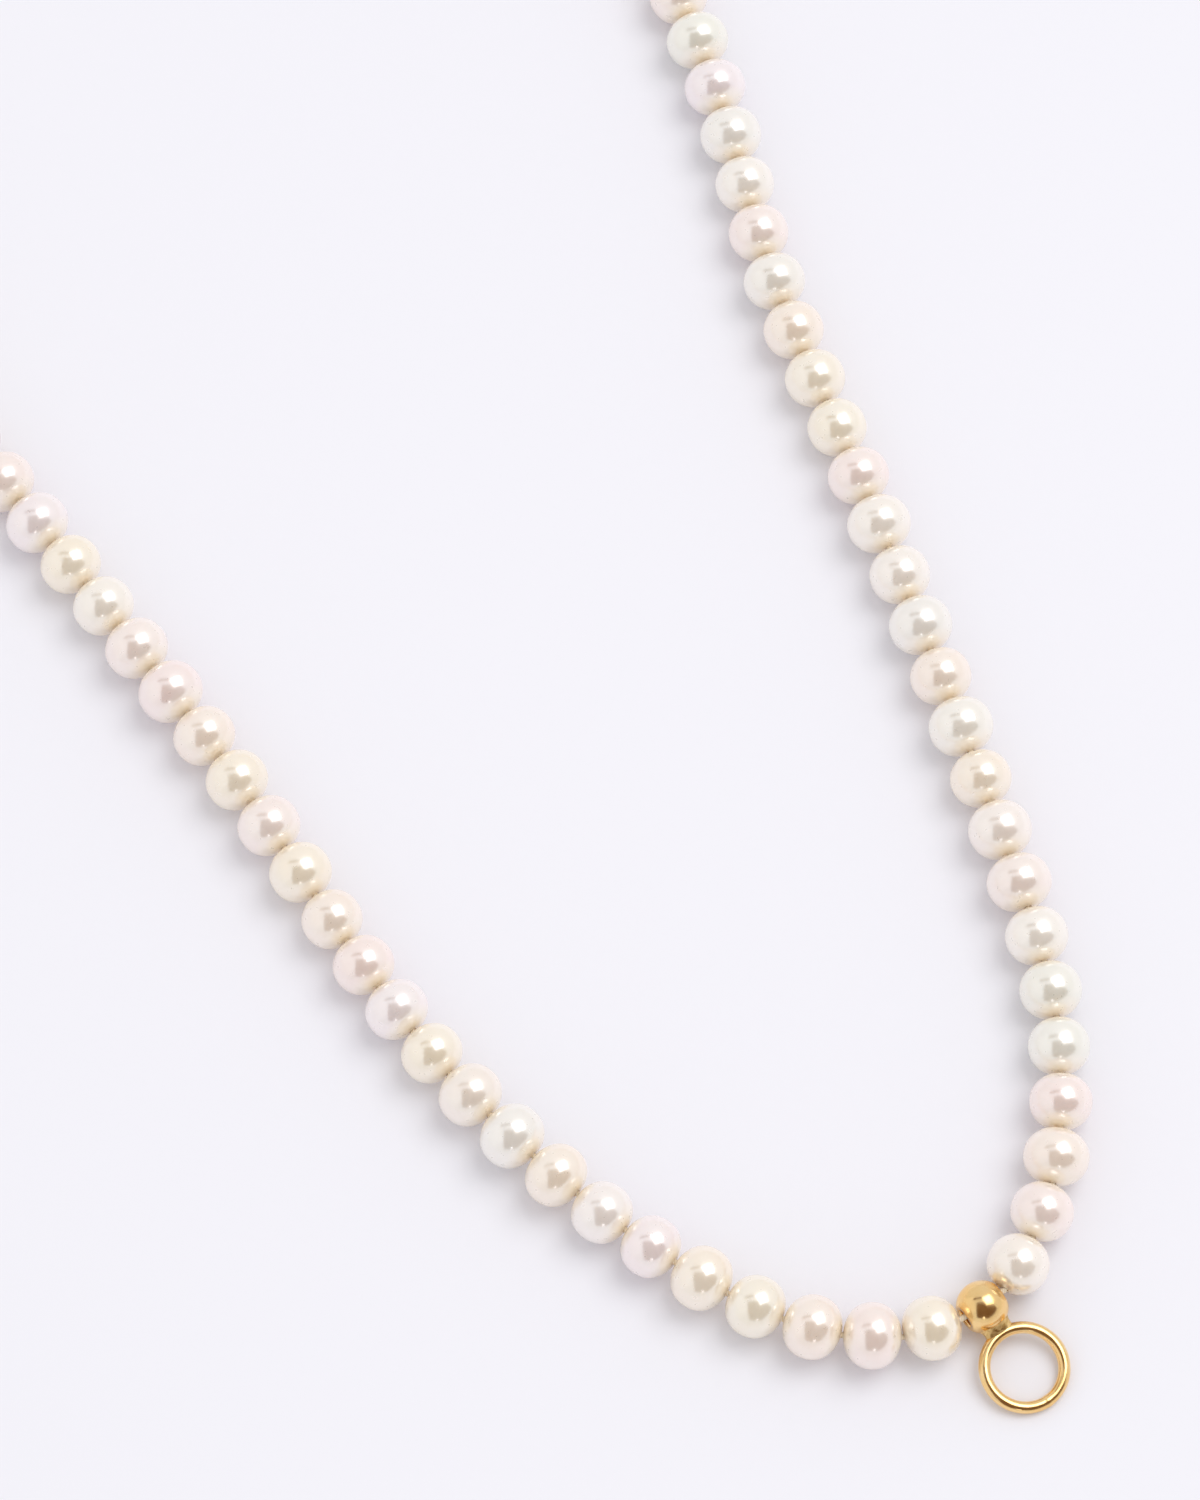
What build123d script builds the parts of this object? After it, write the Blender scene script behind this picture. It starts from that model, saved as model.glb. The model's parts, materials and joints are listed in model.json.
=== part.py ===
from build123d import *
import math
import os
import random

# A pearl necklace laid open on a table: two legs of drilled pearls on one thread, a charm bail
# between them, and a lobster clasp and its ring at the two ends.
# Millimetres. +Z is up, the table is z = 0, and +Y runs from the bail up between the two legs.

# Driving dimensions
PEARL_RADIUS = 2.25            # across the drill hole
PEARL_LENGTH = 4.05            # along the drill hole
RADIUS_SPREAD = 0.09
LENGTH_SPREAD = 0.10
END_ROUNDING = 3.00            # radius of the flattened ends, round the drill hole
SHOULDER_RADIUS = 0.60
PEARL_GAP = 0.10               # between two pearls, so that the strand can bend
PEARLS_PER_PIECE = 2
PIECES_PER_LEG = 22
HOLE_RADIUS = 0.42
THREAD_RADIUS = 0.20
THREAD_HEIGHT = PEARL_RADIUS
FILLET_SHARE = 0.45            # of the shorter run, used up by each rounded corner of the thread
STRAIGHTEST_BEND = 500.0       # the largest radius of a corner, where the thread hardly turns

BALL_RADIUS = 1.82
BALL_HALF_LENGTH = 1.50
BALL_HOLE_RADIUS = 0.75
BALL_GAP = 0.34                # from each flat end of the ball to the corner of the thread
BALL_HEADING = 35.0            # degrees from +X
BAIL_WIRE_RADIUS = 0.42
BAIL_RING_RADIUS = 2.76        # to the middle of the wire
BAIL_REACH = 5.02              # from the middle of the ball to the middle of the ring
NECK_START = 0.80              # inside the ball, from its middle
NECK_BASE = (1.20, 1.00)       # half width and half thickness there
NECK_TOP = (1.10, 0.38)        # and at the middle of the ring's wire

TIP_RADIUS = 1.60
TIP_WALL = 0.35
TIP_HOLE_RADIUS = 0.34
TIP_REACH = 1.75               # from the last corner of the thread to the middle of the cup
TIP_SEAM = 0.06
EYE_REACH = 4.05               # from the last corner of the thread to the middle of the eye
EYE_RADIUS = 0.77
EYE_WIRE_RADIUS = 0.22
EYE_HEIGHT = 1.00
KNOT_RADIUS = 0.75
KNOT_HOLE_RADIUS = 0.21
THREAD_TAIL = 2.60             # from the last corner of the thread to its end in the knot

RING_HEIGHT = 1.00
JUMP_RING_RADIUS = 1.60
JUMP_WIRE_RADIUS = 0.27
JUMP_OFFSET = 0.18             # of the ring's wire from the middle of the eye that it hangs in
END_RING_RADIUS = 2.10
END_WIRE_RADIUS = 0.32
END_OFFSET = 0.15

CLASP_MIDDLE = 1.15            # height of the clasp's middle plane
CLASP_THICKNESS = 2.00
CLASP_EYE_RADIUS = 0.90
CLASP_EYE_WIRE = 0.25
CLASP_EYE_OFFSET = 0.10
CLASP_EYE_REACH = 3.75         # from the middle of the claw to the middle of its eye
CLAW_INNER_RADIUS = 1.95
CLAW_OUTER_RADIUS = 2.75
CLAW_OPENING = (25.0, 110.0)   # degrees, the gap in the claw that the trigger closes
PIVOT_RADIUS = 1.90
PIVOT_ANGLE = 145.0
CHEEK_RADIUS = 1.25
SLOT_RADIUS = 1.35
SLOT_THICKNESS = 1.00
TRIGGER_INNER_RADIUS = 1.25
TRIGGER_OUTER_RADIUS = 1.85
TRIGGER_SECTOR = (5.0, 133.0)
TRIGGER_THICKNESS = 1.60
HUB_RADIUS = 0.70
HUB_THICKNESS = 0.90
THUMB_ANGLE = 91.0
THUMB_LENGTH = 1.40
THUMB_WIDTH = 0.55
PIN_RADIUS = 0.28
PIN_CLEARANCE = 0.03
SPRING_RADIUS = 0.86
SPRING_THICKNESS = 0.12
SPRING_WIDTH = 0.60
SPRING_SECTOR = (130.0, 250.0)

# The line that each leg follows on the table, chosen by hand, from beside the ball outwards.
LEFT_ROUTE = [
    (-3.6, -1.9), (-7.6, -2.4), (-11.6, -1.7), (-15.5, -0.2), (-19.2, 1.9), (-25.8, 6.5), (-32.0, 12.0),
    (-38.2, 18.8), (-44.8, 28.2), (-51.7, 38.8), (-58.8, 48.6), (-66.0, 58.2), (-76.0, 71.0),
    (-85.0, 85.0), (-92.5, 100.0), (-98.5, 116.0), (-103.0, 132.0), (-105.5, 148.0),
]
RIGHT_ROUTE = [
    (2.6, 3.1), (4.4, 6.8), (5.4, 10.7), (5.8, 14.7), (5.8, 18.8), (5.3, 23.2), (3.1, 31.6),
    (0.6, 39.5), (-2.2, 47.7), (-5.1, 56.0), (-7.8, 63.4), (-10.8, 71.1), (-13.5, 78.5),
    (-15.5, 86.4), (-17.6, 94.4), (-20.2, 101.9), (-26.0, 117.0), (-33.0, 132.0), (-40.5, 147.0),
    (-47.0, 163.0), (-52.0, 180.0),
]

spread = random.Random(11)


def heading_vector(degrees):
    """A level unit vector at this angle from +X."""
    return Vector(math.cos(math.radians(degrees)), math.sin(math.radians(degrees)), 0)


def level(vector):
    """The level unit vector in the direction of this one."""
    return Vector(vector.X, vector.Y, 0).normalized()


def frame_at(origin, x_dir, z_dir):
    """A local frame with this origin, x axis and z axis."""
    return Plane(origin=origin, x_dir=x_dir, z_dir=z_dir)


def at_height(vector, z):
    """This point, moved up or down to height z."""
    return Vector(vector.X, vector.Y, z)


def next_corner(route, start, chord, low):
    """The point of the route one chord beyond start, and its place along the route."""
    high = min(1.0, low + 4 * chord / route.length)
    for _ in range(36):
        middle = (low + high) / 2
        if (route @ middle - start).length < chord:
            low = middle
        else:
            high = middle
    return route @ high, high


def lay_leg(start, points):
    """The thread's corners along one leg and, between each two, one pearl's radius and length."""
    route = Spline([start] + [Vector(x, y, 0) for x, y in points])
    corners = [start]
    sizes = []
    place = 0.0
    for _ in range(PEARLS_PER_PIECE * PIECES_PER_LEG):
        radius = PEARL_RADIUS + RADIUS_SPREAD * spread.uniform(-1, 1)
        length = PEARL_LENGTH + LENGTH_SPREAD * spread.uniform(-1, 1)
        corner, place = next_corner(route, corners[-1], length + PEARL_GAP, place)
        corners.append(corner)
        sizes.append((radius, length))
    return corners, sizes


def pearl(radius, length):
    """One drilled pearl about the z axis: a round side, a tighter shoulder and a flattened end, and the same below."""
    end_middle = length / 2 - END_ROUNDING
    side_run = radius - SHOULDER_RADIUS
    end_run = END_ROUNDING - SHOULDER_RADIUS
    shoulder_height = (end_middle**2 - end_run**2 + side_run**2) / (2 * end_middle)
    shoulder_middle = Vector(math.sqrt(side_run**2 - shoulder_height**2), shoulder_height)
    side_angle = math.degrees(math.atan2(shoulder_middle.Y, shoulder_middle.X))
    end_angle = math.degrees(math.atan2(shoulder_middle.Y - end_middle, shoulder_middle.X))
    hole_angle = math.degrees(math.acos(HOLE_RADIUS / END_ROUNDING))
    side = CenterArc((0, 0), radius, -side_angle, 2 * side_angle)
    shoulder = CenterArc(shoulder_middle, SHOULDER_RADIUS, side_angle, end_angle - side_angle)
    end = CenterArc((0, end_middle), END_ROUNDING, end_angle, hole_angle - end_angle)
    below = mirror([shoulder, end], about=Plane.XZ)
    rim = end @ 1
    wall = Line(rim, (rim.X, -rim.Y))
    return revolve(Plane.XZ * make_face([side, shoulder, end, *below.edges(), wall]), Axis.Z)


def pearl_between(first, second, radius, length):
    """A pearl whose hole runs from one corner of the thread to the next and which rests on the table."""
    middle = at_height((first + second) * 0.5, radius)
    return Plane(origin=middle, z_dir=second - first) * pearl(radius, length)


def thread_radii(points):
    """The radius of each rounded corner of the thread, as large as its two runs allow."""
    radii = []
    for before, corner, after in zip(points, points[1:], points[2:]):
        turn = (corner - before).get_angle(after - corner)
        run = min((corner - before).length, (after - corner).length)
        radii.append(min(FILLET_SHARE * run / math.tan(math.radians(turn) / 2), STRAIGHTEST_BEND))
    return radii


def thread(points):
    """The whole thread, from one end knot through every pearl and the ball to the other."""
    radii = thread_radii(points)
    print("thread radii, smallest and largest:", round(min(radii), 2), round(max(radii), 2))
    path = FilletPolyline(*points, radius=radii)
    start = Plane(origin=path @ 0, z_dir=path % 0)
    solid = sweep(start * Circle(THREAD_RADIUS), path=path)
    print("thread length", round(path.length, 1), "volume", round(solid.volume, 2),
          "section times length", round(math.pi * THREAD_RADIUS**2 * path.length, 2))
    return solid


def bail_ball():
    """The hollow-drilled ball, about the x axis, with flat ends."""
    ball = Sphere(BALL_RADIUS) & Box(2 * BALL_HALF_LENGTH, 4 * BALL_RADIUS, 4 * BALL_RADIUS)
    return ball - Rot(Y=90) * Cylinder(BALL_HOLE_RADIUS, 4 * BALL_RADIUS)


def bail_ring():
    """The round wire ring below the ball, in the plane of the ball's hole."""
    return Pos(0, -BAIL_REACH, 0) * Torus(BAIL_RING_RADIUS, BAIL_WIRE_RADIUS)


def bail_neck():
    """The flared joint between ball and ring, broad and flat at the wire, cut to the shape of both."""
    base = Pos(0, 0, NECK_START) * Ellipse(*NECK_BASE)
    top = Pos(0, 0, BAIL_REACH - BAIL_RING_RADIUS) * Ellipse(*NECK_TOP)
    return Rot(X=90) * loft([base, top]) - Sphere(BALL_RADIUS) - bail_ring()


def bead_tip():
    """The end cup about the x axis: two half shells with a seam, and an upright eye at the far end."""
    inside = TIP_RADIUS - TIP_WALL
    cup = Pos(TIP_REACH, 0, 0) * (Sphere(TIP_RADIUS) - Sphere(inside))
    seam_depth = TIP_WALL / 3
    seam = Pos(TIP_REACH, 0, 0) * (
        Cylinder(TIP_RADIUS + 1, TIP_SEAM) - Cylinder(TIP_RADIUS - seam_depth, TIP_SEAM)
    )
    eye = Pos(EYE_REACH, 0, 0) * Rot(X=90) * Torus(EYE_RADIUS, EYE_WIRE_RADIUS)
    hole = Rot(Y=90) * Cylinder(TIP_HOLE_RADIUS, 2 * TIP_REACH)
    return cup - seam - hole + eye


def thread_knot():
    """The knot that holds the thread in the end cup."""
    knot = Pos(TIP_REACH, 0, 0) * Sphere(KNOT_RADIUS)
    return knot - Rot(Y=90) * Cylinder(KNOT_HOLE_RADIUS, 4 * TIP_REACH)


def sector(inner, outer, thickness, angles):
    """A piece of a flat ring about the z axis, between two angles in degrees."""
    ring = Cylinder(outer, thickness) - Cylinder(inner, thickness)
    first, last = angles
    reach = 3 * outer
    steps = 4
    fan = [(0, 0)]
    for step in range(steps + 1):
        angle = math.radians(first + (last - first) * step / steps)
        fan.append((reach * math.cos(angle), reach * math.sin(angle)))
    wedge = extrude(make_face(Polyline(fan, close=True)), thickness, both=True)
    return ring & wedge


def pivot_point():
    """The middle of the trigger's pin, from the middle of the claw."""
    return heading_vector(PIVOT_ANGLE) * PIVOT_RADIUS


def at_pivot(shape):
    return Pos(pivot_point()) * shape


def clasp_body():
    """The claw, the cheeks that hold the trigger's pin, and an upright eye."""
    claw = sector(CLAW_INNER_RADIUS, CLAW_OUTER_RADIUS, CLASP_THICKNESS,
                  (CLAW_OPENING[1], CLAW_OPENING[0] + 360))
    cheeks = at_pivot(Cylinder(CHEEK_RADIUS, CLASP_THICKNESS))
    slot = at_pivot(Cylinder(SLOT_RADIUS, SLOT_THICKNESS))
    pin_hole = at_pivot(Cylinder(PIN_RADIUS, 2 * CLASP_THICKNESS))
    eye = Pos(-CLASP_EYE_REACH, 0, 0) * Rot(X=90) * Torus(CLASP_EYE_RADIUS, CLASP_EYE_WIRE)
    return claw + cheeks - slot - pin_hole + eye


def clasp_trigger():
    """The spring-loaded gate that closes the claw, with its thumb nub."""
    gate = sector(TRIGGER_INNER_RADIUS, TRIGGER_OUTER_RADIUS, TRIGGER_THICKNESS, TRIGGER_SECTOR)
    near_pin = at_pivot(Cylinder(SLOT_RADIUS + PIN_CLEARANCE, TRIGGER_THICKNESS))
    thin = Box(6 * SLOT_RADIUS, 6 * SLOT_RADIUS, HUB_THICKNESS)
    gate = gate - (near_pin - thin)
    thumb_middle = TRIGGER_OUTER_RADIUS + THUMB_LENGTH / 2 - THUMB_WIDTH / 2
    thumb = Rot(Z=THUMB_ANGLE) * Pos(thumb_middle, 0, 0) * Box(THUMB_LENGTH, THUMB_WIDTH, HUB_THICKNESS)
    hub = at_pivot(Cylinder(HUB_RADIUS, HUB_THICKNESS))
    hole = at_pivot(Cylinder(PIN_RADIUS + PIN_CLEARANCE, 2 * CLASP_THICKNESS))
    return gate + thumb + hub - hole


def clasp_pin():
    """The trigger's pin, riveted flush in both cheeks."""
    return at_pivot(Cylinder(PIN_RADIUS, CLASP_THICKNESS))


def clasp_spring():
    """The leaf behind the trigger's hub that presses the gate shut."""
    return at_pivot(sector(SPRING_RADIUS, SPRING_RADIUS + SPRING_THICKNESS, SPRING_WIDTH, SPRING_SECTOR))


def write(name, shape):
    """One STEP file for one named piece."""
    shape.label = name
    export_step(shape, f"parts/{name}.step")


# The strand
ball_direction = heading_vector(BALL_HEADING)
ball_to_corner = ball_direction * (BALL_HALF_LENGTH + BALL_GAP)
left_corners, left_sizes = lay_leg(ball_to_corner * -1, LEFT_ROUTE)
right_corners, right_sizes = lay_leg(ball_to_corner, RIGHT_ROUTE)


class End:
    """Where the fittings at one end of the strand go: the cup hangs from the last corner, tilted down."""

    def __init__(self, corners):
        self.corner = at_height(corners[-1], THREAD_HEIGHT)
        self.out = level(corners[-1] - corners[-2])
        self.side = Vector(0, 0, 1).cross(self.out)
        dip = math.asin((THREAD_HEIGHT - EYE_HEIGHT) / EYE_REACH)
        self.down = self.out * math.cos(dip) - Vector(0, 0, math.sin(dip))
        self.tip = frame_at(self.corner, self.down, self.down.cross(self.side))
        self.eye = self.corner + self.down * EYE_REACH
        self.eye_wire = self.corner + self.down * (EYE_REACH + EYE_RADIUS)


left_end = End(left_corners)
right_end = End(right_corners)

# The jump ring lies level through the eye of the left cup; the clasp's eye hangs on its far side.
jump_near = at_height(left_end.eye, RING_HEIGHT) + left_end.out * JUMP_OFFSET
jump_middle = jump_near + left_end.out * JUMP_RING_RADIUS
jump_far = jump_middle + left_end.out * JUMP_RING_RADIUS
clasp_eye = at_height(jump_far, CLASP_MIDDLE) + left_end.out * CLASP_EYE_OFFSET
clasp_eye_wire = clasp_eye - left_end.out * CLASP_EYE_RADIUS
clasp_middle = clasp_eye + left_end.out * CLASP_EYE_REACH
clasp_frame = frame_at(clasp_middle, left_end.out, Vector(0, 0, 1))

# The end ring leans from the eye of the right cup down to the table.
end_dip = math.asin((RING_HEIGHT - END_WIRE_RADIUS) / (2 * END_RING_RADIUS))
end_slope = right_end.out * math.cos(end_dip) - Vector(0, 0, math.sin(end_dip))
end_near = at_height(right_end.eye, RING_HEIGHT) + right_end.out * END_OFFSET
end_frame = frame_at(end_near + end_slope * END_RING_RADIUS, end_slope, end_slope.cross(right_end.side))

# The bail rests on the table with its ball and with the far side of its ring.
bail_dip = math.asin((BALL_RADIUS - BAIL_WIRE_RADIUS) / (BAIL_REACH + BAIL_RING_RADIUS))
bail_outward = ball_direction.cross(Vector(0, 0, 1))
bail_slope = bail_outward * math.cos(bail_dip) - Vector(0, 0, math.sin(bail_dip))
bail_frame = frame_at(Vector(0, 0, BALL_RADIUS), ball_direction, bail_slope.cross(ball_direction))

pieces = {
    "bail_bead": bail_frame * bail_ball(),
    "bail_neck": bail_frame * bail_neck(),
    "bail_ring": bail_frame * bail_ring(),
    "left_bead_tip": left_end.tip * bead_tip(),
    "left_thread_knot": left_end.tip * thread_knot(),
    "right_bead_tip": right_end.tip * bead_tip(),
    "right_thread_knot": right_end.tip * thread_knot(),
    "clasp_jump_ring": Pos(jump_middle) * Torus(JUMP_RING_RADIUS, JUMP_WIRE_RADIUS),
    "clasp_body": clasp_frame * clasp_body(),
    "clasp_trigger": clasp_frame * clasp_trigger(),
    "clasp_pin": clasp_frame * clasp_pin(),
    "clasp_spring": clasp_frame * clasp_spring(),
    "end_ring": end_frame * Torus(END_RING_RADIUS, END_WIRE_RADIUS),
}

thread_points = [left_end.corner + left_end.down * THREAD_TAIL]
thread_points += [at_height(corner, THREAD_HEIGHT) for corner in reversed(left_corners)]
thread_points += [at_height(corner, THREAD_HEIGHT) for corner in right_corners]
thread_points += [right_end.corner + right_end.down * THREAD_TAIL]
pieces["bead_thread"] = thread(thread_points)

for side, corners, sizes in (("left", left_corners, left_sizes), ("right", right_corners, right_sizes)):
    pearls = [
        pearl_between(first, second, radius, length)
        for first, second, (radius, length) in zip(corners, corners[1:], sizes)
    ]
    for number in range(PIECES_PER_LEG):
        group = pearls[number * PEARLS_PER_PIECE:(number + 1) * PEARLS_PER_PIECE]
        pieces[f"{side}_pearls_{number + 1:02d}"] = Compound(children=group)

# The layout is moved so that its box is centred on the z axis.
boxes = [piece.bounding_box() for piece in pieces.values()]
middle_x = (min(box.min.X for box in boxes) + max(box.max.X for box in boxes)) / 2
middle_y = (min(box.min.Y for box in boxes) + max(box.max.Y for box in boxes)) / 2
to_centre = Vector(-middle_x, -middle_y, 0)

os.makedirs("parts", exist_ok=True)
for name, piece in pieces.items():
    write(name, Pos(to_centre) * piece)
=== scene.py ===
import json
import math

import bmesh
import bpy
import numpy as np
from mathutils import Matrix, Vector


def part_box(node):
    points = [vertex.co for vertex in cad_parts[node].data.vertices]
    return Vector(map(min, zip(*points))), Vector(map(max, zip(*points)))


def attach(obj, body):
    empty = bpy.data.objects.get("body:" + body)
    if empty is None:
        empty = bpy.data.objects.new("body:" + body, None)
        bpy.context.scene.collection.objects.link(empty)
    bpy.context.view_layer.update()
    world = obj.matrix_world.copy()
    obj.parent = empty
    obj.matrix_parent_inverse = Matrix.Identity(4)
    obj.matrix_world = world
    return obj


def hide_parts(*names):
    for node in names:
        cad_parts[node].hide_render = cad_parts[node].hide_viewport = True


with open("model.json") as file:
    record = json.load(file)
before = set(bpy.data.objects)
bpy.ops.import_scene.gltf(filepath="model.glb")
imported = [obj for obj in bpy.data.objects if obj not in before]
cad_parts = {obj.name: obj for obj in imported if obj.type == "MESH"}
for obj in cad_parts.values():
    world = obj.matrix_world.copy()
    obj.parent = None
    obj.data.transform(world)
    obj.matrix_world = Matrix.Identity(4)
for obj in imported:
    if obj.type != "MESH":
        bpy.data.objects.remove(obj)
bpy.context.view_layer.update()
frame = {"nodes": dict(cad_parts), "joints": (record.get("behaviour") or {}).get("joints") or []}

MM = 0.001
PIECES_PER_LEG = 22
PEARL_SEGMENTS = 56
PEARL_ROWS = 36
FULLNESS = 2.14                   # 2 is an ellipse; more gives fuller shoulders
HOLE_RADIUS = 0.26 * MM           # as shown, a little wider than the thread
RIM = 0.03 * MM                   # the softened edge of the hole
END_DEPTH = 0.020 * MM            # the undrilled oval's tip past the drilled end
THREAD_RADIUS = 0.20 * MM
THREAD_SIDES = 16
THREAD_REACH = 0.05 * MM          # out of a pearl, to about the middle of the gap
BALL_RADIUS = 1.82 * MM
BALL_HALF_LENGTH = 1.50 * MM
BALL_HOLE_RADIUS = 0.75 * MM
RING_RADIUS = 2.76 * MM
WIRE_RADIUS = 0.42 * MM
SOLDER_START = 1.35 * MM          # from the ball's middle
SOLDER_LENGTH = 0.95 * MM

draw = np.random.default_rng(20)


# ---------------------------------------------------------------- small helpers

def link(mesh, name):
    """A new object in the scene for this mesh, smooth shaded."""
    piece = bpy.data.objects.new(name, mesh)
    bpy.context.scene.collection.objects.link(piece)
    mesh.shade_smooth()
    return piece


def grid_mesh(name, points, wrap_rows=True):
    """A mesh of quads from an array of points, rows by columns by 3; each row closes on itself."""
    rows, columns = points.shape[:2]
    last_row = rows if wrap_rows else rows - 1
    faces = []
    for row in range(last_row):
        for column in range(columns):
            right = (column + 1) % columns
            below = (row + 1) % rows
            faces.append((
                row * columns + column, row * columns + right,
                below * columns + right, below * columns + column,
            ))
    mesh = bpy.data.meshes.new(name)
    mesh.from_pydata(points.reshape(-1, 3).tolist(), [], faces)
    mesh.validate()
    return mesh


def outward(mesh):
    """Turns every face of a closed mesh outward."""
    work = bmesh.new()
    work.from_mesh(mesh)
    bmesh.ops.recalc_face_normals(work, faces=work.faces)
    work.to_mesh(mesh)
    work.free()


def close_ends(mesh):
    """Closes the open ends of a tube and turns its faces outward."""
    work = bmesh.new()
    work.from_mesh(mesh)
    bmesh.ops.holes_fill(work, edges=[e for e in work.edges if e.is_boundary])
    bmesh.ops.recalc_face_normals(work, faces=work.faces)
    work.to_mesh(mesh)
    work.free()


def lathe(profile, segments):
    """The points of a closed profile of (radius, height) turned about the z axis."""
    turns = np.linspace(0, 2 * np.pi, segments, endpoint=False)
    radius, height = np.array(profile).T
    return np.stack([
        radius[:, None] * np.cos(turns), radius[:, None] * np.sin(turns),
        np.repeat(height[:, None], segments, axis=1),
    ], axis=-1)


def placed(points, origin, x_dir, y_dir, z_dir):
    """Points of a local frame, in the shared frame."""
    axes = np.array([x_dir, y_dir, z_dir])
    return points @ axes + np.array(origin)


def across(axis):
    """Two unit vectors square to this one and to each other."""
    side = np.cross(axis, [0.0, 0.0, 1.0])
    side /= np.linalg.norm(side)
    return side, np.cross(axis, side)


def middle_of(node):
    """The middle of a CAD node's box."""
    low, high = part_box(node)
    return np.array((low + high) / 2)


def settle(piece, body, material, node):
    """A finished piece: its body, its material and the CAD node that it stands for."""
    piece.data.materials.append(material)
    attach(piece, body)
    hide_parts(node)


# ---------------------------------------------------------------- materials

def new_material(name):
    """A new material, its node tree and its shader."""
    material = bpy.data.materials.new(name)
    material.use_nodes = True
    tree = material.node_tree
    return material, tree, tree.nodes["Principled BSDF"]


def noise(tree, scale, detail=3.0, distortion=0.0):
    """A noise texture in the object's own coordinates."""
    place = tree.nodes.new("ShaderNodeTexCoord")
    texture = tree.nodes.new("ShaderNodeTexNoise")
    texture.inputs["Scale"].default_value = scale
    texture.inputs["Detail"].default_value = detail
    texture.inputs["Distortion"].default_value = distortion
    tree.links.new(place.outputs["Object"], texture.inputs["Vector"])
    return texture


def ranged(tree, value, low, high, source=(0.3, 0.7)):
    """Maps a value from the source range to low and high."""
    node = tree.nodes.new("ShaderNodeMapRange")
    node.inputs["From Min"].default_value, node.inputs["From Max"].default_value = source
    node.inputs["To Min"].default_value = low
    node.inputs["To Max"].default_value = high
    tree.links.new(value, node.inputs["Value"])
    return node.outputs["Result"]


def mixed(tree, factor, first, second):
    """A colour mix by a socket; each of the two may be a socket or a colour."""
    node = tree.nodes.new("ShaderNodeMix")
    node.data_type = "RGBA"
    tree.links.new(factor, node.inputs["Factor"])
    for name, value in (("A", first), ("B", second)):
        socket = next(s for s in node.inputs if s.name == name and s.type == "RGBA")
        if isinstance(value, tuple):
            socket.default_value = (*value, 1.0)
        else:
            tree.links.new(value, socket)
    return next(s for s in node.outputs if s.type == "RGBA")


def bump(tree, shader, height, strength, distance):
    """Raises the surface by a height socket."""
    node = tree.nodes.new("ShaderNodeBump")
    node.inputs["Strength"].default_value = strength
    node.inputs["Distance"].default_value = distance
    tree.links.new(height, node.inputs["Height"])
    tree.links.new(node.outputs["Normal"], shader.inputs["Normal"])


def nacre_material():
    """Nacre: a translucent body in each pearl's own tint, with a painted warm glow toward the drilled ends,
    under a bright, faintly rosy lustre.
    """
    material, tree, shader = new_material("nacre")
    tint = tree.nodes.new("ShaderNodeAttribute")
    tint.attribute_name = "orient"
    clouds = noise(tree, 420.0, detail=2.0)
    cloudy = ranged(tree, clouds.outputs["Fac"], 0.0, 0.30)
    colour = mixed(tree, cloudy, tint.outputs["Color"], (0.98, 0.93, 0.85))
    tree.links.new(colour, shader.inputs["Base Color"])
    skin = noise(tree, 2200.0, detail=2.0)
    tree.links.new(ranged(tree, skin.outputs["Fac"], 0.27, 0.37), shader.inputs["Roughness"])
    shader.inputs["IOR"].default_value = 2.2
    shader.inputs["Specular IOR Level"].default_value = 1.0
    shader.inputs["Specular Tint"].default_value = (1.0, 0.95, 0.93, 1.0)
    shader.inputs["Subsurface Weight"].default_value = 0.25
    shader.inputs["Subsurface Radius"].default_value = (1.0, 0.94, 0.88)
    shader.inputs["Subsurface Scale"].default_value = 0.9 * MM
    shader.inputs["Coat Weight"].default_value = 1.0
    shader.inputs["Coat Roughness"].default_value = 0.16
    shader.inputs["Coat IOR"].default_value = 2.8
    return material


def gold_material(name, colours, roughness, grain, grain_scale, shade_in_hollows):
    """Gold: two colours, a range of roughness, and a grain with its strength and scale.

    Where shade is painted into the hollows, the hollows of the grain get the darker colour: painted shade.
    The rest varies in colour at random, as wear.
    """
    material, tree, shader = new_material(name)
    grains = noise(tree, grain_scale, detail=5.0, distortion=0.4).outputs["Fac"]
    if shade_in_hollows:
        # painted shade: the low places of the grain, which the bump sinks, get the darker colour
        wear_and_hollow_shade = ranged(tree, grains, 0.0, 1.0, source=(0.38, 0.62))
    else:
        wear_and_hollow_shade = ranged(tree, noise(tree, 700.0).outputs["Fac"], 0.0, 1.0)
    tree.links.new(mixed(tree, wear_and_hollow_shade, *colours), shader.inputs["Base Color"])
    shader.inputs["Metallic"].default_value = 1.0
    tree.links.new(ranged(tree, grains, *roughness), shader.inputs["Roughness"])
    bump(tree, shader, grains, grain, 0.03 * MM)
    return material


def silk_material():
    """Twisted silk: a fine diagonal twist in warm cream."""
    material, tree, shader = new_material("silk")
    place = tree.nodes.new("ShaderNodeTexCoord")
    twist = tree.nodes.new("ShaderNodeTexWave")
    twist.inputs["Scale"].default_value = 1800.0
    twist.inputs["Distortion"].default_value = 1.5
    tree.links.new(place.outputs["Object"], twist.inputs["Vector"])
    colour = mixed(tree, twist.outputs["Fac"], (0.80, 0.66, 0.44), (0.93, 0.84, 0.68))
    tree.links.new(colour, shader.inputs["Base Color"])
    shader.inputs["Roughness"].default_value = 0.7
    bump(tree, shader, twist.outputs["Fac"], 0.5, 0.04 * MM)
    return material


def steel_material():
    """Brushed spring steel."""
    material, tree, shader = new_material("spring_steel")
    lines = noise(tree, 5000.0, detail=4.0)
    colour = mixed(tree, lines.outputs["Fac"], (0.42, 0.42, 0.43), (0.62, 0.62, 0.63))
    tree.links.new(colour, shader.inputs["Base Color"])
    shader.inputs["Metallic"].default_value = 1.0
    tree.links.new(ranged(tree, lines.outputs["Fac"], 0.22, 0.42), shader.inputs["Roughness"])
    return material


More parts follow.
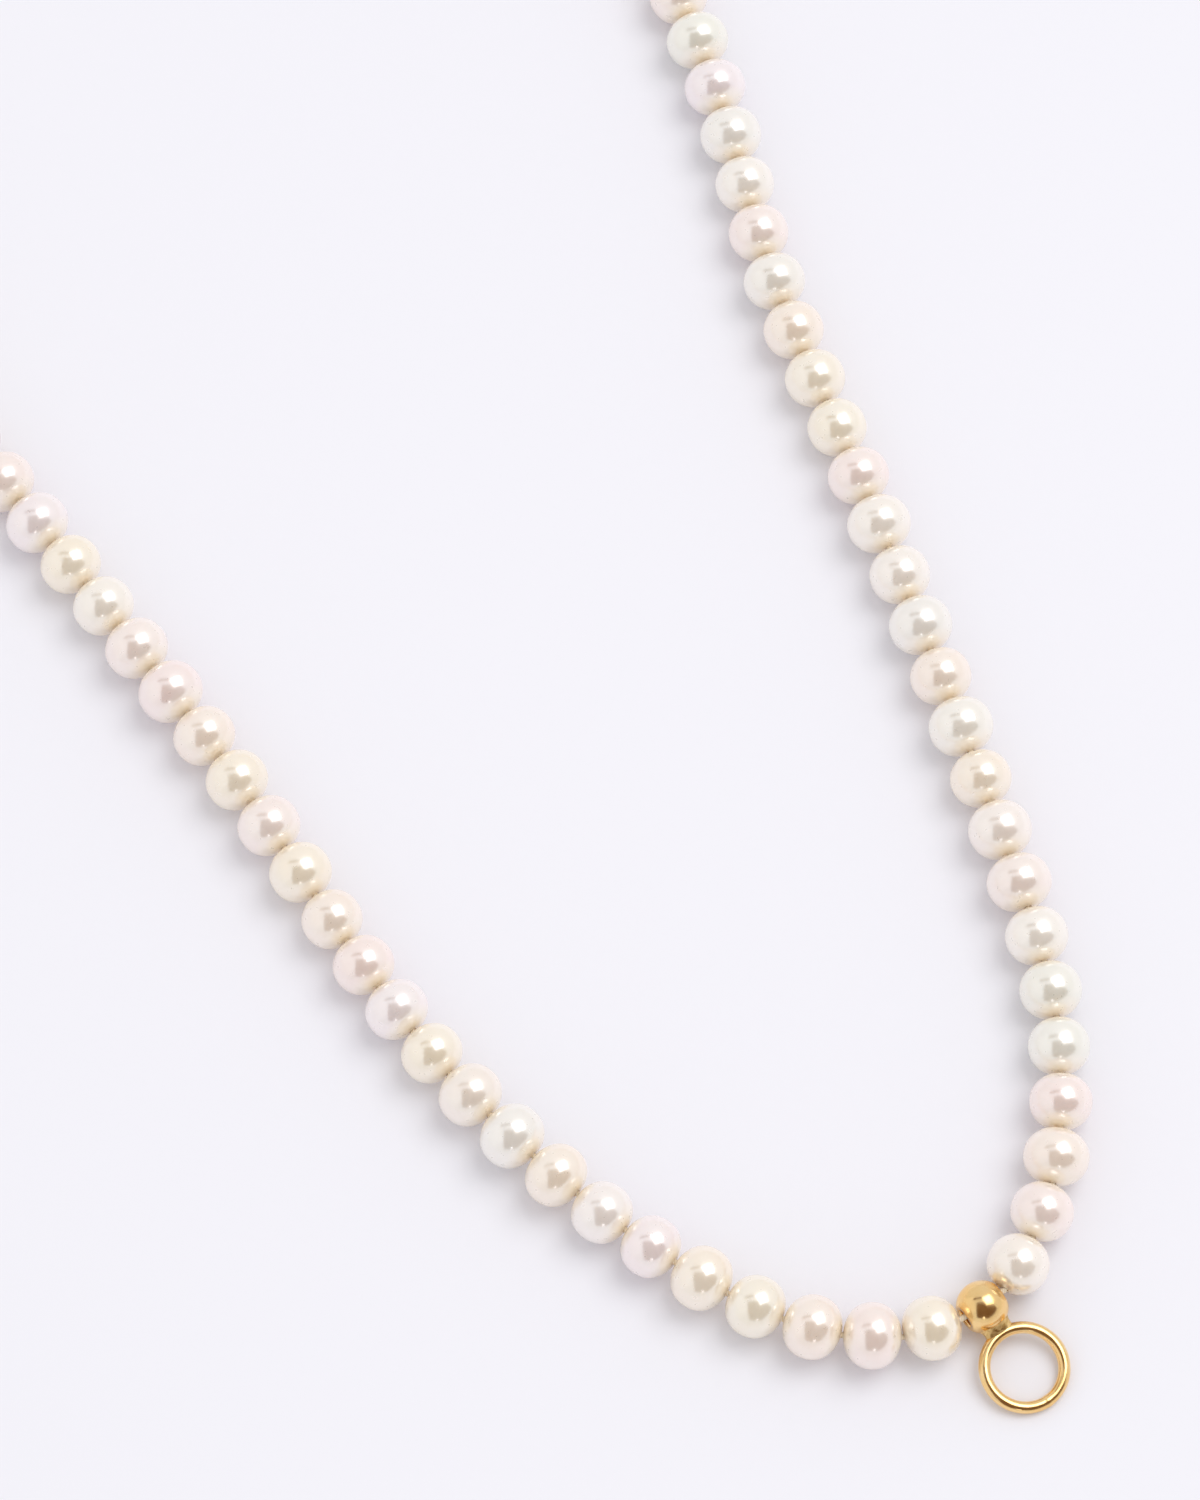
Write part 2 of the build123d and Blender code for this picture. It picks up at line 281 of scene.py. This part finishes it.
nacre = nacre_material()
polished_gold = gold_material(
    "polished_gold", colours=((0.96, 0.63, 0.25), (1.0, 0.73, 0.36)), roughness=(0.14, 0.26),
    grain=0.14, grain_scale=1300.0, shade_in_hollows=False,
)
# the neck's darker colour is painted shade, laid into the hollows of its grain
cast_gold = gold_material(
    "cast_gold", colours=((0.62, 0.39, 0.13), (0.98, 0.72, 0.33)), roughness=(0.20, 0.50),
    grain=1.0, grain_scale=2400.0, shade_in_hollows=True,
)
silk = silk_material()
steel = steel_material()


# ---------------------------------------------------------------- pearls

# Body tints of the pearls, linear, and how often each comes up.
ORIENTS = {
    "pink": ((0.98, 0.77, 0.71), 0.18),
    "gold": ((0.99, 0.84, 0.62), 0.16),
    "green": ((0.87, 0.87, 0.75), 0.12),
    "peach": ((0.99, 0.80, 0.66), 0.18),
    "cream": ((0.98, 0.89, 0.79), 0.18),
    "lilac": ((0.93, 0.80, 0.83), 0.06),
    "grey": ((0.89, 0.86, 0.79), 0.12),
}
PAINTED_GAP_GLOW = (1.0, 0.86, 0.66)     # painted glow: a warmer, lighter nacre colour toward the drilled ends, standing in for light glowing through the gaps between pearls


class CadPearl:
    """One pearl as the CAD has it: its middle, its hole's line, its radius, half its undrilled length."""

    def __init__(self, points, faces):
        box_middle = (points.min(0) + points.max(0)) / 2
        corners = points[faces]
        normals = np.cross(corners[:, 1] - corners[:, 0], corners[:, 2] - corners[:, 0])
        facing_in = ((corners.mean(1) - box_middle) * normals).sum(1) < 0
        bore = points[np.unique(faces[facing_in])]
        self.middle = bore.mean(0)
        self.axis = np.linalg.svd(bore - self.middle, full_matrices=False)[2][0]
        along = (points - self.middle) @ self.axis
        off_axis = points - self.middle - along[:, None] * self.axis
        self.radius = np.linalg.norm(off_axis, axis=1).max()
        self.half_length = np.abs(along).max() + END_DEPTH


def joined_to(start):
    """Every vertex that edges join to this one, and the vertex itself."""
    group = set()
    waiting = [start]
    while waiting:
        vertex = waiting.pop()
        if vertex in group:
            continue
        group.add(vertex)
        waiting.extend(edge.other_vert(vertex) for edge in vertex.link_edges)
    return group


def cad_pearls(node):
    """The separate pearls of one CAD node."""
    work = bmesh.new()
    work.from_mesh(frame["nodes"][node].data)
    bmesh.ops.remove_doubles(work, verts=work.verts, dist=0.0001 * MM)
    bmesh.ops.triangulate(work, faces=work.faces)
    left = set(work.verts)
    found = []
    while left:
        group = joined_to(next(iter(left)))
        left -= group
        order = sorted(group, key=lambda v: v.index)
        number = {vertex: i for i, vertex in enumerate(order)}
        faces = [[number[v] for v in f.verts] for f in work.faces if f.verts[0] in group]
        found.append(CadPearl(np.array([v.co for v in order]), np.array(faces)))
    work.free()
    return found


def pearl_profile(radius, half_length):
    """A full-shouldered oval with a softened rim, then the drilled hole, as (radius, height)."""
    power = 2 / FULLNESS
    edge = math.acos(((HOLE_RADIUS + RIM) / radius) ** (1 / power))
    around = np.linspace(-edge, edge, PEARL_ROWS)
    outside = [
        (radius * math.cos(t) ** power, half_length * math.copysign(abs(math.sin(t)) ** power, t))
        for t in around
    ]
    top = outside[-1][1]
    lip = [(HOLE_RADIUS + 0.3 * RIM, top - 0.1 * RIM), (HOLE_RADIUS, top - RIM)]
    wall = [(HOLE_RADIUS, h * (top - RIM)) for h in (0.5, 0.0, -0.5)]
    return outside + lip + wall + [(r, -h) for r, h in reversed(lip)]


def uneven(points, middle, size, strength):
    """Swells and dimples a round body by a little, with a few slow waves in random directions."""
    ways = (points - middle) / size
    change = np.zeros(points.shape[:-1])
    for wavelength, share in ((1.6, 1.0), (2.6, 0.6), (4.5, 0.35), (8.0, 0.12)):
        for _ in range(3):
            direction = draw.normal(size=3)
            direction *= wavelength / np.linalg.norm(direction)
            change += share * np.sin(ways @ direction + draw.uniform(0, 2 * np.pi))
    return middle + (points - middle) * (1 - strength * (1 + change / 3))[..., None]


def tints_along(points, cad, orient):
    """The pearl's own tint at every point, moving toward both ends to a painted warm glow for the gaps
    between pearls.
    """
    toward_end = np.abs((points - cad.middle) @ cad.axis) / cad.half_length
    # painted glow: over the last part toward each end, the colour moves to the warm gap tint
    warm = np.clip((toward_end - 0.55) / 0.40, 0, 1)[:, None]
    colours = np.ones((len(points), 4))
    colours[:, :3] = orient * (1 - warm) + np.array(PAINTED_GAP_GLOW) * warm
    return colours


def pearl(name, cad, body, node, orient):
    """One pearl, slightly uneven, with its tint and the painted glow at its ends kept as a mesh attribute.
    """
    side, up = across(cad.axis)
    outline = lathe(pearl_profile(cad.radius, cad.half_length), PEARL_SEGMENTS)
    points = placed(outline, cad.middle, side, up, cad.axis)
    points = uneven(points, cad.middle, cad.radius, draw.uniform(0.003, 0.008))
    mesh = grid_mesh(name, points)
    outward(mesh)
    # the orient attribute holds the pearl's tint together with the painted glow at its ends
    tint = mesh.attributes.new("orient", "FLOAT_COLOR", "POINT")
    tint.data.foreach_set("color", tints_along(points.reshape(-1, 3), cad, orient).ravel())
    settle(link(mesh, name), body, nacre, node)


def random_tint():
    """A random pearl's tint: one of the named ones, moved towards another by a random share."""
    tints = np.array([tint for tint, _ in ORIENTS.values()])
    odds = [share for _, share in ORIENTS.values()]
    first, second = draw.choice(len(tints), 2, p=odds, replace=False)
    share = draw.uniform(0, 0.4)
    return tints[first] * (1 - share) + tints[second] * share


# ---------------------------------------------------------------- thread

def unit(vector):
    return vector / np.linalg.norm(vector)


def tube(name, line, radius):
    """A round tube along a line of points, with rounded ends."""
    turns = np.linspace(0, 2 * np.pi, THREAD_SIDES, endpoint=False)
    rounding = ((0.15, 0.98), (0.5, 0.86), (0.8, 0.6), (0.98, 0.15))   # past the end, and width, in radii
    back = unit(line[0] - line[1])
    on = unit(line[-1] - line[-2])
    stations = [(line[0] + back * radius * u, v) for u, v in reversed(rounding)]
    stations += [(point, 1.0) for point in line]
    stations += [(line[-1] + on * radius * u, v) for u, v in rounding]
    rings = []
    for number, (centre, share) in enumerate(stations):
        before = stations[max(number - 1, 0)][0]
        after = stations[min(number + 1, len(stations) - 1)][0]
        side, up = across(unit(after - before))
        rings.append(centre + radius * share * (np.cos(turns)[:, None] * side + np.sin(turns)[:, None] * up))
    mesh = grid_mesh(name, np.array(rings), wrap_rows=False)
    close_ends(mesh)
    return link(mesh, name)


def thread_line(pair):
    """The thread's way through a pair of pearls, out to about the middle of the gap at each end."""
    near, far = pair
    return [
        near.middle - near.axis * (near.half_length + THREAD_REACH),
        near.middle + near.axis * (near.half_length + THREAD_REACH),
        far.middle + far.axis * (far.half_length + THREAD_REACH),
    ]


def strand():
    """Every pearl, and the piece of thread inside each pair."""
    ball = middle_of("bail_bead")
    ball_side = next(np.array(j["pos_m"]) for j in frame["joints"] if j["child"] == "right_pearls_01")
    for leg in ("left", "right"):
        before = ball
        for number in range(1, PIECES_PER_LEG + 1):
            node = f"{leg}_pearls_{number:02d}"
            body = "strand_middle" if (leg, number) == ("left", 1) else node
            pair = sorted(cad_pearls(node), key=lambda p: np.linalg.norm(p.middle - before))
            for place, cad in enumerate(pair):
                if (cad.middle - before) @ cad.axis < 0:
                    cad.axis = -cad.axis
                before = cad.middle
                pearl(f"{leg}_pearl_{2 * number - 1 + place:02d}", cad, body, node, random_tint())
            line = thread_line(pair)
            if number == 1:
                line.insert(0, ball_side)   # the left leg's first piece goes on through the ball
            piece = tube(f"{leg}_thread_{number:02d}", line, THREAD_RADIUS)
            settle(piece, body, silk, "bead_thread")


strand()


# ---------------------------------------------------------------- bail

def bail_frame():
    """The ball's middle, the ring's middle, the line of the hole, the way to the ring, the ring's normal."""
    ball, ring = middle_of("bail_bead"), middle_of("bail_ring")
    hole = np.array(next(j["axis"] for j in frame["joints"] if j["child"] == "bail"))
    down = (ring - ball) / np.linalg.norm(ring - ball)
    return ball, ring, hole, down, np.cross(hole, -down)


def ball_profile():
    """The ball's outline: its round side, a softened flat end, the hole, and the same again."""
    edge = math.asin(BALL_HALF_LENGTH / BALL_RADIUS) - 0.05
    round_side = [
        (BALL_RADIUS * math.cos(t), BALL_RADIUS * math.sin(t)) for t in np.linspace(-edge, edge, 40)
    ]
    soft = 0.06 * MM
    flat_radius = math.sqrt(BALL_RADIUS**2 - BALL_HALF_LENGTH**2)
    end = [
        (flat_radius + 0.2 * soft, BALL_HALF_LENGTH - 0.25 * soft),
        (flat_radius - 0.5 * soft, BALL_HALF_LENGTH),
        (BALL_HOLE_RADIUS - 0.3 * soft, BALL_HALF_LENGTH),
        (BALL_HOLE_RADIUS - 0.9 * soft, BALL_HALF_LENGTH - 0.5 * soft),
        (BALL_HOLE_RADIUS - 0.9 * soft, BALL_HALF_LENGTH - 4 * soft),
    ]
    wall = [(BALL_HOLE_RADIUS - 0.9 * soft, 0.0)]
    return round_side + end + wall + [(r, -h) for r, h in reversed(end)]


def bail_ball(ball, hole, down):
    """The polished ball, faintly dimpled."""
    points = placed(lathe(ball_profile(), 96), ball, down, np.cross(hole, down), hole)
    points = uneven(points, ball, BALL_RADIUS, 0.006)
    mesh = grid_mesh("bail_ball", points)
    outward(mesh)
    settle(link(mesh, "bail_ball"), "bail", polished_gold, "bail_bead")


def bail_loop(ring, down, normal):
    """The wire ring, a little uneven, with a faint swelling opposite the neck, where the ends meet."""
    around = np.linspace(0, 2 * np.pi, 160, endpoint=False)[:, None]
    about = np.linspace(0, 2 * np.pi, 28, endpoint=False)
    wire = WIRE_RADIUS * (1 + 0.012 * np.sin(3 * around + 1) + 0.008 * np.sin(7 * around))
    wire = wire * (1 + 0.05 * np.exp(-(((around - np.pi) / 0.05) ** 2)))
    reach = RING_RADIUS + wire * np.cos(about)
    points = np.stack([reach * np.cos(around), reach * np.sin(around), wire * np.sin(about)], axis=-1)
    points = placed(points, ring, -down, np.cross(normal, -down), normal)
    mesh = grid_mesh("bail_loop", points)
    outward(mesh)
    settle(link(mesh, "bail_loop"), "bail", polished_gold, "bail_ring")


def bail_solder(ball, hole, down):
    """The lumpy neck of solder, from inside the ball to the ring's wire."""
    steps = np.linspace(0, 1, 26)[:, None]
    turns = np.linspace(0, 2 * np.pi, 64, endpoint=False)
    half_width = (1.16 - 0.16 * np.sin(np.pi * steps) + 0.06 * steps) * MM
    half_thickness = (1.0 - 0.60 * steps**0.8) * MM
    lumps = 1 + draw.normal(0, 0.012, (len(steps), len(turns)))
    points = np.stack([
        half_width * lumps * np.cos(turns), half_thickness * lumps * np.sin(turns),
        np.repeat(SOLDER_START + SOLDER_LENGTH * steps, len(turns), axis=1),
    ], axis=-1)
    points = placed(points, ball, hole, np.cross(down, hole), down)
    mesh = grid_mesh("bail_solder", points, wrap_rows=False)
    close_ends(mesh)
    settle(link(mesh, "bail_solder"), "bail", cast_gold, "bail_neck")


ball_middle, ring_middle, hole_line, to_ring, ring_normal = bail_frame()
bail_ball(ball_middle, hole_line, to_ring)
bail_loop(ring_middle, to_ring, ring_normal)
bail_solder(ball_middle, hole_line, to_ring)


# ---------------------------------------------------------------- clasp, rings and end cups

def rounded(node, body, material, edge):
    """A CAD node's shape with its sharp edges rounded."""
    mesh = frame["nodes"][node].data.copy()
    mesh.materials.clear()
    work = bmesh.new()
    work.from_mesh(mesh)
    bmesh.ops.remove_doubles(work, verts=work.verts, dist=0.001 * MM)
    bmesh.ops.dissolve_limit(work, angle_limit=math.radians(0.5), verts=work.verts, edges=work.edges)
    work.to_mesh(mesh)
    work.free()
    piece = link(mesh, node + "_finished")
    bevel = piece.modifiers.new("edges", "BEVEL")
    bevel.width = edge
    bevel.segments = 3
    bevel.limit_method = "ANGLE"
    bevel.angle_limit = math.radians(40)
    bevel.harden_normals = True
    bevel.use_clamp_overlap = False
    settle(piece, body, material, node)


rounded("left_bead_tip", "left_tip", polished_gold, 0.015 * MM)
rounded("right_bead_tip", "right_tip", polished_gold, 0.015 * MM)
rounded("clasp_jump_ring", "jump_ring", polished_gold, 0.02 * MM)
rounded("end_ring", "end_ring", polished_gold, 0.02 * MM)
rounded("clasp_body", "clasp", polished_gold, 0.13 * MM)
rounded("clasp_trigger", "trigger", polished_gold, 0.10 * MM)
rounded("clasp_spring", "clasp", steel, 0.02 * MM)
rounded("clasp_pin", "clasp", polished_gold, 0.04 * MM)
rounded("left_thread_knot", "left_tip", silk, 0.02 * MM)
rounded("right_thread_knot", "right_tip", silk, 0.02 * MM)


# ---------------------------------------------------------------- camera, floor and lights

TILT = math.radians(23)           # of the view, from straight down
CAMERA_DISTANCE = 0.46
LENS = 195
TABLE_HALF = 3.0
FLAG_DISTANCE = 1.7
CARD_BROWN = (0.21, 0.12, 0.055)
to_camera = Vector((0, -math.sin(TILT), math.cos(TILT)))
view_up = Vector((0, math.cos(TILT), math.sin(TILT)))
view_right = Vector((1, 0, 0))
target = Vector(middle_of("bail_bead")) + Vector((-26.1, 41.3, 0)) * MM


def camera():
    """The camera, above the strand, looking down from the bail's side."""
    data = bpy.data.cameras.new("camera")
    data.sensor_fit = "HORIZONTAL"
    data.sensor_width = 36
    data.lens = LENS
    data.clip_start = 0.01
    data.clip_end = 20
    seat = bpy.data.objects.new("camera", data)
    seat.location = target + to_camera * CAMERA_DISTANCE
    seat.rotation_euler = (TILT, 0, 0)
    bpy.context.scene.collection.objects.link(seat)
    bpy.context.scene.camera = seat


def aimed(place, at):
    """The rotation of a light or card at this place that faces a point."""
    return (at - place).to_track_quat("-Z", "Y").to_euler()


def softbox(name, direction, distance, size, watts):
    """A rectangular studio light, in a direction given as right, up and towards the camera."""
    data = bpy.data.lights.new(name, "AREA")
    data.shape = "RECTANGLE"
    data.size, data.size_y = size
    data.energy = watts
    right, up, forward = direction
    way = (view_right * right + view_up * up + to_camera * forward).normalized()
    lamp = bpy.data.objects.new(name, data)
    lamp.location = target + way * distance
    lamp.rotation_euler = aimed(lamp.location, target)
    bpy.context.scene.collection.objects.link(lamp)


def floor():
    """The pale table."""
    mesh = bpy.data.meshes.new("table")
    corners = [(x * TABLE_HALF, y * TABLE_HALF, 0) for x, y in ((-1, -1), (1, -1), (1, 1), (-1, 1))]
    mesh.from_pydata(corners, [], [(0, 1, 2, 3)])
    table = bpy.data.objects.new("table", mesh)
    bpy.context.scene.collection.objects.link(table)
    material, tree, shader = new_material("table")
    shade = noise(tree, 9.0, detail=1.0)
    colour = mixed(tree, shade.outputs["Fac"], (0.842, 0.838, 0.886), (0.860, 0.856, 0.902))
    tree.links.new(colour, shader.inputs["Base Color"])
    shader.inputs["Roughness"].default_value = 0.6
    shader.inputs["Specular IOR Level"].default_value = 0.25
    table.data.materials.append(material)


def flag(name, corners, colour):
    """A card over the table, seen only in reflections; its corners in degrees right and up of the view."""
    mesh = bpy.data.meshes.new(name)
    points = [
        target + to_camera * FLAG_DISTANCE
        + view_right * FLAG_DISTANCE * math.tan(math.radians(right))
        + view_up * FLAG_DISTANCE * math.tan(math.radians(up))
        for right, up in corners
    ]
    mesh.from_pydata(points, [], [range(len(points))])
    card = bpy.data.objects.new(name, mesh)
    bpy.context.scene.collection.objects.link(card)
    material, tree, shader = new_material(name)
    shader.inputs["Base Color"].default_value = (*colour, 1)
    shader.inputs["Roughness"].default_value = 0.9
    mesh.materials.append(material)
    card.visible_camera = False
    card.visible_diffuse = False
    card.visible_shadow = False


def studio():
    """An even, nearly white surround, and enough bounces for the narrow gaps between glossy pearls."""
    scene = bpy.context.scene
    scene.world = bpy.data.worlds.new("studio")
    scene.world.use_nodes = True
    surround = scene.world.node_tree.nodes["Background"]
    surround.inputs["Color"].default_value = (1.0, 0.99, 1.0, 1.0)
    surround.inputs["Strength"].default_value = 0.785
    scene.view_settings.view_transform = "Standard"
    scene.cycles.max_bounces = 32
    scene.cycles.diffuse_bounces = 16
    scene.cycles.glossy_bounces = 16


camera()
floor()
flag("camera_side", [(-30, -48), (30, -50), (57, -36), (64, -10), (50, 14), (20, 26), (-28, 23)], CARD_BROWN)
flag("boom", [(-50, 39), (-5, 38), (-4, 47), (-50, 49)], CARD_BROWN)
softbox("key", (0.392, 0.542, 0.743), 1.5, (1.0, 1.0), 7.9)
softbox("window", (-0.90, 0.05, 0.42), 1.56, (1.95, 1.8), 1.1)
softbox("spark", (0.09, -0.70, 0.71), 1.5, (0.16, 0.16), 0.24)
studio()
